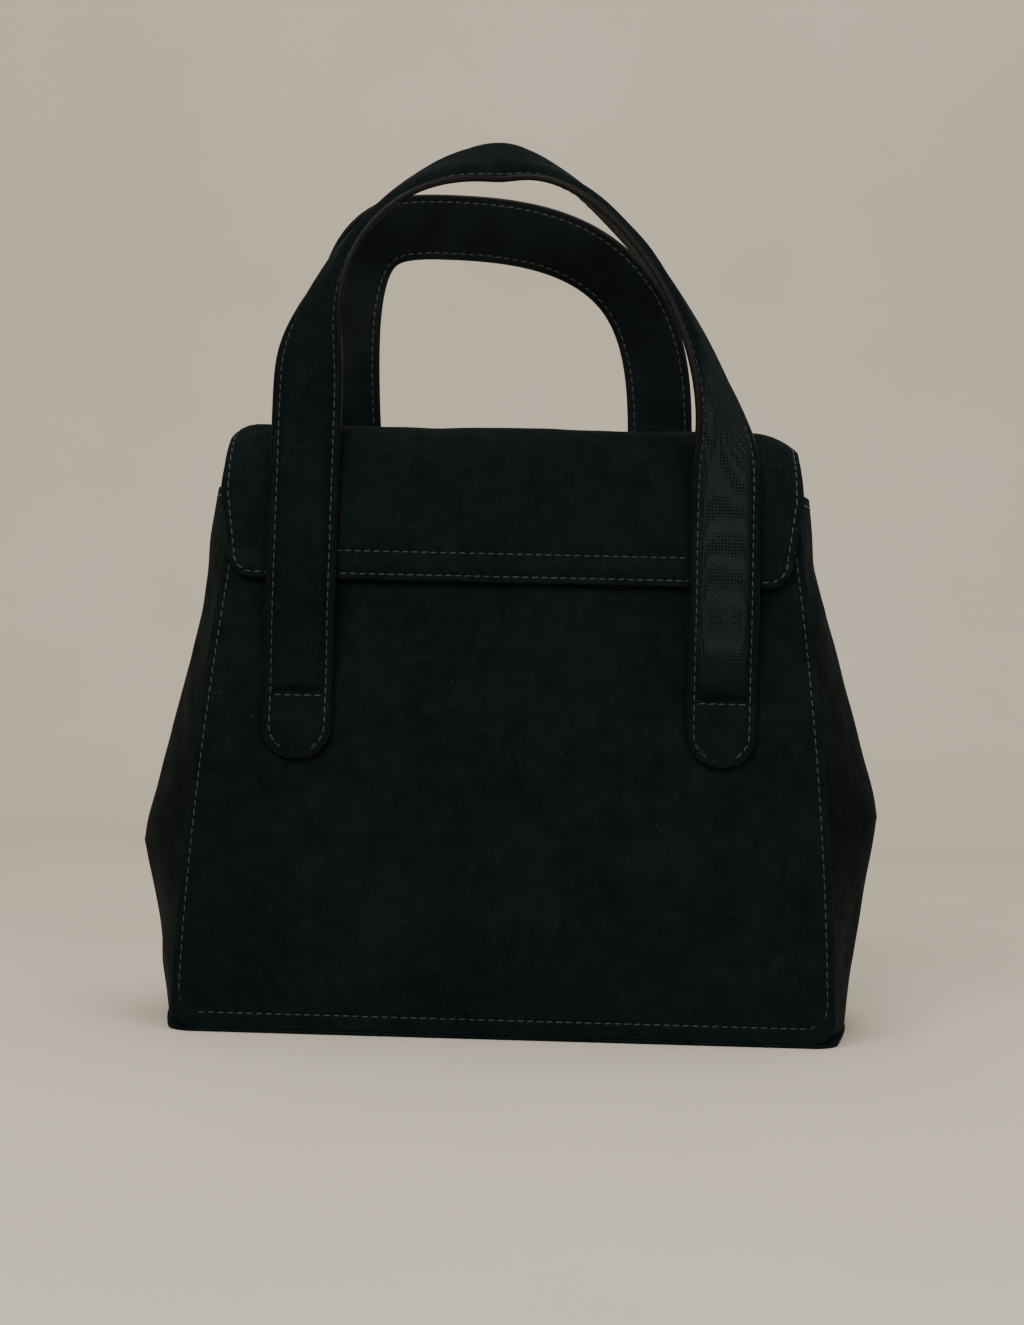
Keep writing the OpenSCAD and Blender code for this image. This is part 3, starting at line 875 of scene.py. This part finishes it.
def sewn_flap():
    """The part of the flap from its sewn lower edge over the roll to the middle of the top."""
    fold_rows = tuple(ROLL_Y + d for d in (-6, -4, -2, 0, 2, 4, 6))
    stitch_rows = tuple(SEWN_END - row for row in BOX_ROWS)
    details = fold_rows + stitch_rows + (SEWN_END - 1, SEWN_END - 6)
    rows = stations(0, SEWN_END, 2.4, details=details, near=(0.4, 0.9))
    half = flap_half(rows)
    x = columns(half, 3.2)
    t = np.broadcast_to(rows[:, None], x.shape)
    quads = grid_quads(*x.shape)
    surface = flap_surface(SEWN)
    outer = FLAP_LAYERS[0] + FLAP_LAYERS[1]
    skin = sheet(surface(x, t), quads, outer, -1)
    skin = piece("flap_sewn_suede", skin, SUEDE, replaces=["flap_back"])
    under = sheet(flap_surface(SEWN, outer)(x * 0.998, t), quads, FLAP_LAYERS[2], -1)
    lining = piece("flap_sewn_lining", under, SMOOTH, replaces=["flap_back_lining"])

    r = FLAP_CORNER_R - FLAP_SEAM_INSET
    side_t = np.linspace(1.5, SEWN_END - FLAP_CORNER_R, 60)
    side_x = flap_half(side_t) - FLAP_SEAM_INSET
    centre_x = flap_half(SEWN_END - FLAP_CORNER_R) - FLAP_CORNER_R
    turn = np.linspace(0, math.pi / 2, 8)[1:]
    line_x = np.concatenate([side_x, centre_x + r * np.cos(turn)])
    line_t = np.concatenate([side_t, SEWN_END - FLAP_CORNER_R + r * np.sin(turn)])
    rows_of_thread = [seam(surface, *mirrored(line_x, line_t, 70), -1)]
    inner_half = HANDLES[SEWN][0] + 4
    across = np.linspace(-inner_half, inner_half, 70)
    rows_of_thread.append(seam(surface, across, np.full(70, SEWN_END - BOX_ROWS[1]), -1))
    threads = piece("flap_sewn_stitches", joined(rows_of_thread), THREAD, sharp=80)
    for obj in (skin, lining, threads):
        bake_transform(obj)


sewn_flap()


def rounded_end(x, half, end, r):
    """Where a strip of the flap ends: straight across, with round corners."""
    into = np.clip(np.abs(x) - (half - r), 0, r)
    return end - (r - np.sqrt(r ** 2 - into ** 2))


def wide_end(x):
    return rounded_end(x, FLAP_TOP_HALF, TONGUE_START, TOP_CORNER_R)


def tongue_grid():
    """Grid of the flap's wide part and its tongue: x, t and quads."""
    half, narrow = FLAP_TOP_HALF, TONGUE_HALF
    details = (narrow, half - 1, half - 3, narrow - 2.9, half - 7)
    details += tuple(-place for place in details)
    x = stations(-half, half, 3.4, details=details, near=(0.4,))
    share = np.linspace(0, 1, 16)[:, None]
    wide_t = share * wide_end(x)
    wide_x = np.broadcast_to(x, wide_t.shape)
    keep = np.abs(x) <= narrow + 0.01
    tx = x[keep]
    share = np.linspace(0, 1, 44)[1:, None]
    start = wide_t[-1][keep]
    tongue_t = start + share * (rounded_end(tx, narrow, TONGUE_END, TONGUE_CORNER_R) - start)
    tongue_x = np.broadcast_to(tx, tongue_t.shape)
    wide_count = wide_t.size
    quads = [grid_quads(*wide_t.shape)]
    first = np.arange(wide_count - len(x), wide_count)[keep]
    ids = np.concatenate([first[None], wide_count + np.arange(tongue_t.size).reshape(tongue_t.shape)])
    quads.append(np.stack([ids[:-1, :-1], ids[:-1, 1:], ids[1:, 1:], ids[1:, :-1]], axis=-1).reshape(-1, 4))
    return (
        np.concatenate([wide_x.ravel(), tongue_x.ravel()]),
        np.concatenate([wide_t.ravel(), tongue_t.ravel()]),
        np.concatenate(quads),
    )


def tongue_flap():
    """The rest of the flap: half the top, its full-width front edge, and the tongue."""
    x, t, quads = tongue_grid()
    suede_t, board_t, lining_t = FLAP_LAYERS
    surface = flap_surface(TONGUE)
    skin = sheet(surface(x, t), quads, suede_t, 1)
    skin = piece("flap_top_suede", skin, SUEDE, replaces=["flap_top", "tongue"])
    under = sheet(flap_surface(TONGUE, suede_t + board_t)(x, t), quads, lining_t, 1)
    lining = piece("flap_top_lining_leather", under, SMOOTH,
                   replaces=["flap_top_lining", "tongue_lining"])

    rows = stations(-ROLL_Y + 8, TONGUE_START - 2, 3)
    cols = stations(-FLAP_TOP_HALF + 2, FLAP_TOP_HALF - 2, 5)
    bt, bx = np.meshgrid(rows, cols, indexing="ij")
    inside = flap_surface(TONGUE, suede_t)(bx, np.abs(bt))
    inside[..., 1] *= np.sign(bt)
    bend = bt.ravel() <= wide_end(bx.ravel()) - 1
    quads = grid_quads(*bt.shape)
    quads = quads[bend[quads].all(axis=1)]
    piece("flap_board_sheet", sheet(inside, quads, board_t, 1), BOARD, "flap", ["flap_board"])

    rows = stations(TONGUE_START + 9, TONGUE_END - 2, 2.5)
    half = round_corner(TONGUE_HALF - 2, TONGUE_END - 2 - rows, TONGUE_CORNER_R - 2)
    bx = np.linspace(-1, 1, 27)[None] * half[:, None]
    bt = np.broadcast_to(rows[:, None], bx.shape)
    inside = flap_surface(TONGUE, suede_t)(bx, bt)
    magnet_low, magnet_high = (np.array(corner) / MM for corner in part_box("tongue_magnet"))
    middle = (magnet_low + magnet_high) / 2
    clear = np.hypot(inside[..., 0] - middle[0], inside[..., 2] - middle[2]).ravel() > 9.5
    quads = grid_quads(*bt.shape)
    quads = quads[clear[quads].all(axis=1)]
    shape = sheet(inside, quads, board_t, 1)
    piece("tongue_board_sheet", shape, BOARD, "tongue", ["tongue_board"])

    inset = FLAP_SEAM_INSET
    corner = np.linspace(0, math.pi / 2, 8)
    r = TOP_CORNER_R - inset
    centre = FLAP_TOP_HALF - TOP_CORNER_R
    turn_t = TONGUE_START - TOP_CORNER_R
    edge_x = np.concatenate([np.full(10, FLAP_TOP_HALF - inset), centre + r * np.cos(corner)])
    edge_t = np.concatenate([np.linspace(1.5, turn_t, 10), turn_t + r * np.sin(corner)])
    r = TONGUE_CORNER_R - inset
    centre = TONGUE_HALF - TONGUE_CORNER_R
    turn_t = TONGUE_END - TONGUE_CORNER_R
    down = np.linspace(TONGUE_START - inset, turn_t, 40)
    round_x = centre + r * np.cos(corner)
    edge_x = np.concatenate([edge_x, [TONGUE_HALF + 3], np.full(40, TONGUE_HALF - inset), round_x])
    edge_t = np.concatenate([edge_t, [TONGUE_START - inset], down, turn_t + r * np.sin(corner)])
    threads = seam(surface, *mirrored(edge_x, edge_t, 3), 1)
    threads = piece("flap_top_stitches", threads, THREAD, sharp=80)
    for obj in (skin, lining, threads):
        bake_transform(obj)


tongue_flap()


# ---- Handles ----

LIFT = 4.4
LIFT_FROM, LIFT_TO = 123.0, 158.0
PAD_RISE = 2.6
EDGE_BEAD = (0.62, 1.25)  # how far the painted edge stands out, and half its height


def resample(line, places):
    """Points of a polyline at distances along it."""
    steps = np.linalg.norm(np.diff(line, axis=0), axis=1)
    along = np.concatenate([[0], np.cumsum(steps)])
    return np.stack([np.interp(places, along, line[:, k]) for k in range(line.shape[1])], axis=1)


def length_of(line):
    return float(np.linalg.norm(np.diff(line, axis=0), axis=1).sum())


class Handle:
    """A strap handle: centre line from tab tip to tab tip in the wall's coordinates, and its frames."""

    def __init__(self, side):
        self.side = side
        half, top_x, top_s, left_s, right_s, left_power, right_power, sway = HANDLES[side][:8]
        self.top_x = top_x
        self.tilts = [math.radians(angle) for angle in HANDLES[side][8:]]
        left_x, right_x = sway - half, sway + half
        a = np.radians(np.linspace(0, 90, 400))
        foot = ROW_S - TAB_LEN
        leg = np.linspace(0, 1, 60)
        left_leg_x = -half + sway * smooth((foot + (left_s - foot) * leg - ROW_S) / (left_s - ROW_S))
        right_leg_x = half + sway * smooth((foot + (right_s - foot) * leg - ROW_S) / (right_s - ROW_S))
        line = np.concatenate([
            np.stack([left_leg_x, foot + (left_s - foot) * leg], axis=1),
            np.stack([top_x + (left_x - top_x) * np.cos(a) ** (2 / left_power),
                      left_s + (top_s - left_s) * np.sin(a) ** (2 / left_power)], axis=1)[1:],
            np.stack([top_x + (right_x - top_x) * np.cos(a) ** (2 / right_power),
                      right_s + (top_s - right_s) * np.sin(a) ** (2 / right_power)], axis=1)[-2::-1],
            np.stack([right_leg_x, foot + (right_s - foot) * leg], axis=1)[-2::-1],
        ])
        self.length = length_of(line)
        even = resample(line, np.arange(0, self.length, 1.0))
        for _ in range(120):
            even[1:-1] = (even[:-2] + 2 * even[1:-1] + even[2:]) / 4
        self.line = even
        self.length = length_of(even)

    def frames(self, along):
        """Centre, across and face directions at distances along the handle."""
        centre = resample(self.line, along)
        ahead = resample(self.line, np.minimum(along + 1.5, self.length))
        behind = resample(self.line, np.maximum(along - 1.5, 0))
        tangent = ahead - behind
        tangent /= np.linalg.norm(tangent, axis=1, keepdims=True)
        tx, ts = tangent[:, 0], tangent[:, 1]
        to_right = smooth(0.5 + (centre[:, 0] - self.top_x) / 40)
        at_shoulder = self.tilts[1] + (self.tilts[2] - self.tilts[1]) * to_right
        tilt = self.tilts[0] * tx ** 2 + at_shoulder * 2 * np.abs(tx) * ts ** 2
        face = np.stack([-ts * np.sin(tilt), tx * np.sin(tilt), np.cos(tilt)], axis=1)
        across = np.cross(np.stack([tx, ts, 0 * tx], axis=1), face)
        off = LIFT * smooth((centre[:, 1] - LIFT_FROM) / (LIFT_TO - LIFT_FROM))
        low = centre[:, 1] < 160
        rest = np.where(low, panel_rise(centre[:, 0], centre[:, 1], self.side), 0) * (1 - off / LIFT)
        return np.column_stack([centre, off + np.maximum(rest, 0)]), across, face

    def place(self, along, x, h):
        """Points x across and h off the strap's back, at distances along it."""
        centre, across, face = self.frames(np.ravel(along))
        flat = centre + np.ravel(x)[:, None] * across + np.ravel(h)[:, None] * face
        points = wall_point(flat[:, 0], flat[:, 1], flat[:, 2], self.side)
        return points.reshape(np.shape(along) + (3,))

    def from_end(self, along):
        return np.minimum(along, self.length - along)

    def half(self, along):
        """Half width: constant, with round ends."""
        into = np.clip(STRAP_HALF - self.from_end(along), 0, STRAP_HALF)
        return np.sqrt(np.maximum(STRAP_HALF ** 2 - into ** 2, 0.02))

    def height(self, along, x):
        """Height of the strap's face over its back: flat sewn margins and a raised padded middle."""
        end = self.from_end(along)
        round_end = STRAP_HALF - np.hypot(x, STRAP_HALF - end)
        edge = np.where(end < STRAP_HALF, round_end, STRAP_HALF - np.abs(x))
        pad = np.minimum(edge - STRAP_SEAM_INSET - 0.5, end - TAB_LEN - 1.4)
        rise = 2 * STRAP_EDGE_T - 0.5 * (1 - smooth(edge / 0.9)) ** 2
        rise = rise + PAD_RISE * np.sin(np.clip(pad / 3.6, 0, 1) * math.pi / 2) ** 0.8
        rise = rise - 0.3 * dent(edge - STRAP_SEAM_INSET, 0.42)
        rise = rise - 0.3 * dent(end - TAB_LEN, 0.42) * (edge > STRAP_SEAM_INSET - 0.5)
        tab_pad = 0.35 * smooth((edge - 2.7) / 3) * smooth((TAB_LEN - end - 0.5) / 3)
        return rise + tab_pad + 0.1 * waves(along, x * 2, 22, 101 + self.side) * smooth(edge / 5)


STRAP_ACROSS = np.concatenate([
    [0, 0.12, 0.4, 0.85, 1.3, 1.65, 1.92, 2.2, 2.48, 2.8, 3.3, 4.1, 5.2, 6.6, 8.3, 10.2],
    [STRAP_HALF],
]) - STRAP_HALF
STRAP_ACROSS = np.concatenate([STRAP_ACROSS, -STRAP_ACROSS[-2::-1]]) / STRAP_HALF


def handle(side, end_name):
    """One handle: suede, smooth lining, felt, painted edge and thread."""
    name = end_name + "_handle"
    strap = Handle(side)
    ends = (0.9, TAB_LEN, TAB_LEN + 2.2, TAB_LEN + 4)
    mirrored = tuple(strap.length - e for e in ends)
    along = stations(0.12, strap.length - 0.12, 2.0, details=ends + mirrored, near=(0.4, 0.9))
    low, high = (wall_point(0, s, 0, side) * MM for s in (ROW_S + 2, ROW_S + 14))

    def bending(obj):
        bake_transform(obj)

    u = STRAP_ACROSS[None] * strap.half(along)[:, None]
    aa = np.broadcast_to(along[:, None], u.shape)
    top = strap.place(aa, u, strap.height(aa, u))
    back_h = STRAP_EDGE_T * smooth((strap.from_end(aa) - TAB_LEN) / 2.5)
    back = strap.place(aa, u, back_h)
    rings = np.concatenate([top, back[:, ::-1]], axis=1)
    rings = rings[:, ::-side]
    tabs = [end_name + "_tab_left", end_name + "_tab_right"]
    skin = piece(name + "_suede", tube(rings), STRAP_SUEDE if side == SEWN else SUEDE,
                 replaces=[name + "_suede"] + tabs, sharp=60)
    bending(skin)

    inner = along[(along > TAB_LEN + 0.6) & (along < strap.length - TAB_LEN - 0.6)]
    aa = np.broadcast_to(inner[:, None], (len(inner), STRAP_ACROSS.size))
    u = STRAP_ACROSS[None] * (STRAP_HALF - 0.05) + 0 * aa
    groove = 0.18 * dent(STRAP_HALF - np.abs(u) - STRAP_SEAM_INSET, 0.45)
    soft = 0.12 * waves(aa, u * 2, 30, 111 + side) * smooth((STRAP_HALF - np.abs(u)) / 4)
    low_face = strap.place(aa, u, groove + soft * 0.5)
    high_face = strap.place(aa, u, STRAP_EDGE_T * smooth((strap.from_end(aa) - TAB_LEN) / 2.5) - 0.02)
    rings = np.concatenate([high_face, low_face[:, ::-1]], axis=1)
    rings = rings[:, ::-side]
    bending(piece(name + "_lining_leather", tube(rings), SMOOTH,
                  replaces=[name + "_lining"], sharp=60))

    inner = along[(along > TAB_LEN + 4) & (along < strap.length - TAB_LEN - 4)]
    section_x = np.array([-8.2, 8.2, 6.6, 3, -3, -6.6])
    section_h = np.array([0.05, 0.05, 1.5, 1.9, 1.9, 1.5]) + STRAP_EDGE_T + 0.1
    aa = np.broadcast_to(inner[:, None], (len(inner), 6))
    rings = strap.place(aa, section_x + 0 * aa, section_h + 0 * aa)
    rings = rings[:, ::side]
    bending(piece(name + "_felt", tube(rings), FELT, replaces=[name + "_core"]))

    # The painted edge follows the whole outline: up one side, round the tab, down the other.
    turn = np.linspace(0, math.pi, 24)[1:-1]
    side_along = np.arange(STRAP_HALF, strap.length - STRAP_HALF + 1, 2.0)
    first_arc = STRAP_HALF - STRAP_HALF * np.sin(turn)
    loop_along = np.concatenate([side_along, strap.length - first_arc, side_along[::-1], first_arc])
    loop_x = np.concatenate([
        np.full(side_along.size, STRAP_HALF),
        STRAP_HALF * np.cos(turn),
        np.full(side_along.size, -STRAP_HALF),
        -STRAP_HALF * np.cos(turn),
    ])
    out_along = np.concatenate([0 * side_along, np.sin(turn), 0 * side_along, -np.sin(turn)])
    out_x = loop_x / STRAP_HALF
    bead = np.arange(8) * math.pi / 4
    wide = np.cos(bead)[None] * EDGE_BEAD[0]
    tall = STRAP_EDGE_T + np.sin(bead)[None] * EDGE_BEAD[1]
    bead_along = loop_along[:, None] + wide * out_along[:, None]
    bead_x = loop_x[:, None] + wide * out_x[:, None]
    rings = strap.place(bead_along, bead_x, tall + 0 * bead_x)
    rings = rings[:, ::side]
    bending(piece(name + "_painted_edge", tube(rings, closed=True), EDGE))

    rows = []
    seam_x = STRAP_HALF - STRAP_SEAM_INSET

    def face(a, x):
        return strap.place(a, x, strap.height(a, x))

    def lining_face(a, x):
        return strap.place(a, x, np.zeros_like(a))

    flip = 1 if side > 0 else -1
    for sign in (-1, 1):
        run = np.arange(TAB_LEN, strap.length - TAB_LEN, 1.5)
        rows.append(seam(face, run, np.full(run.size, sign * seam_x), flip))
        run = run[3:-3]
        rows.append(seam(lining_face, run, np.full(run.size, sign * seam_x), -flip))
    for far in (False, True):
        arc = np.linspace(0, math.pi, 20)
        down = np.linspace(TAB_LEN, STRAP_HALF, 12)[:-1]
        a = np.concatenate([down, STRAP_HALF - seam_x * np.sin(arc), down[::-1]])
        x = np.concatenate([np.full(11, seam_x), seam_x * np.cos(arc), np.full(11, -seam_x)])
        row_x = np.linspace(-seam_x + 1, seam_x - 1, 20)
        row_a = np.full(20, TAB_LEN)
        if far:
            a, row_a = strap.length - a, strap.length - row_a
        rows.append(seam(face, a, x, flip))
        rows.append(seam(face, row_a, row_x, flip))
    bending(piece(name + "_stitches", joined(rows), THREAD, sharp=80))


for handle_side, end_name in ((SEWN, "back"), (TONGUE, "front")):
    handle(handle_side, end_name)


# ---- CAD nodes that stay ----

INNER_BOARDS = (
    "base_board", "back_stiffener", "front_stiffener",
    "back_tab_reinforcements", "front_tab_reinforcements",
)


def finish_node(node, look):
    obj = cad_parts[node]
    obj.data.materials.clear()
    obj.data.materials.append(look)


for node in INNER_BOARDS:
    finish_node(node, BOARD_CAD)
for node in ("front_magnet", "tongue_magnet"):
    finish_node(node, STEEL)


# ---- Camera, light and stage ----

CAMERA_AT = (27.5, -855.0, 134.0)
CAMERA_YAW, CAMERA_PITCH, CAMERA_ROLL = (math.radians(a) for a in (1.9, 0.1, 1.35))
FOCAL_SHARE = 2230 / 1325  # focal length over the picture's height
SENSOR_H = 24.0


def put(name, data, axes, place):
    """Adds an object at a place in metres, with its own x, y and z along axes."""
    obj = bpy.data.objects.new(name, data)
    bpy.context.scene.collection.objects.link(obj)
    matrix = Matrix.Identity(4)
    for column, vector in enumerate((*axes, place)):
        for row in range(3):
            matrix[row][column] = vector[row]
    obj.matrix_world = matrix
    return obj


def add_camera():
    data = bpy.data.cameras.new("camera")
    data.sensor_fit = "VERTICAL"
    data.sensor_height = SENSOR_H
    data.lens = FOCAL_SHARE * SENSOR_H
    yaw, pitch, roll = CAMERA_YAW, CAMERA_PITCH, CAMERA_ROLL
    right = np.array([math.cos(yaw), math.sin(yaw), 0])
    forward = np.array([-math.sin(yaw) * math.cos(pitch), math.cos(yaw) * math.cos(pitch), math.sin(pitch)])
    up = np.cross(right, forward)
    image_right = math.cos(roll) * right + math.sin(roll) * up
    image_up = -math.sin(roll) * right + math.cos(roll) * up
    axes = (image_right, image_up, -forward)
    bpy.context.scene.camera = put("camera", data, axes, np.array(CAMERA_AT) * MM)


def add_light(name, place, target, size, power, colour):
    data = bpy.data.lights.new(name, "AREA")
    data.shape = "RECTANGLE"
    data.size, data.size_y = size
    data.energy = power
    data.color = colour
    back = np.array(place, float) - np.array(target, float)
    back /= np.linalg.norm(back)
    side = np.cross((0, 0, 1), back)
    side /= np.linalg.norm(side)
    put(name, data, (side, np.cross(back, side), back), place)


def add_stage():
    """A pale floor that curves up into a backdrop."""
    look = Look("backdrop", at_rest=False)
    cloud = look.noise(160, 3)
    look.set(Base_Color=look.blend(cloud, (0.60, 0.54, 0.44, 1), (0.67, 0.61, 0.51, 1)), Roughness=0.85)
    bend_r, back_y, front_y, top, half = 0.5, 1.3, -2.2, 2.4, 2.6
    turn = np.linspace(0, math.pi / 2, 16)
    profile = [(front_y, 0)]
    profile += [(back_y - bend_r + bend_r * math.sin(a), bend_r - bend_r * math.cos(a)) for a in turn]
    profile.append((back_y, top))
    points = [(x, y, z - 0.0002) for y, z in profile for x in (-half, half)]
    faces = [(2 * i, 2 * i + 1, 2 * i + 3, 2 * i + 2) for i in range(len(profile) - 1)]
    mesh = bpy.data.meshes.new("backdrop")
    mesh.from_pydata(points, [], faces)
    mesh.shade_smooth()
    mesh.materials.append(look.material)
    obj = bpy.data.objects.new("backdrop", mesh)
    bpy.context.scene.collection.objects.link(obj)


add_camera()
add_stage()
TARGET = (0, 0, 0.15)
add_light("key", (-0.55, -1.5, 1.25), TARGET, (1.3, 1.0), 30, (1.0, 0.97, 0.92))
add_light("fill", (1.1, -1.3, 0.8), TARGET, (1.0, 1.2), 10, (0.96, 0.98, 1.0))
add_light("top", (0.1, 0.15, 1.7), TARGET, (1.4, 1.0), 12, (1.0, 0.97, 0.92))

world = bpy.data.worlds.new("studio")
world.use_nodes = True
background = world.node_tree.nodes["Background"].inputs
background["Color"].default_value = (1.0, 0.95, 0.86, 1)
background["Strength"].default_value = 0.32
bpy.context.scene.world = world
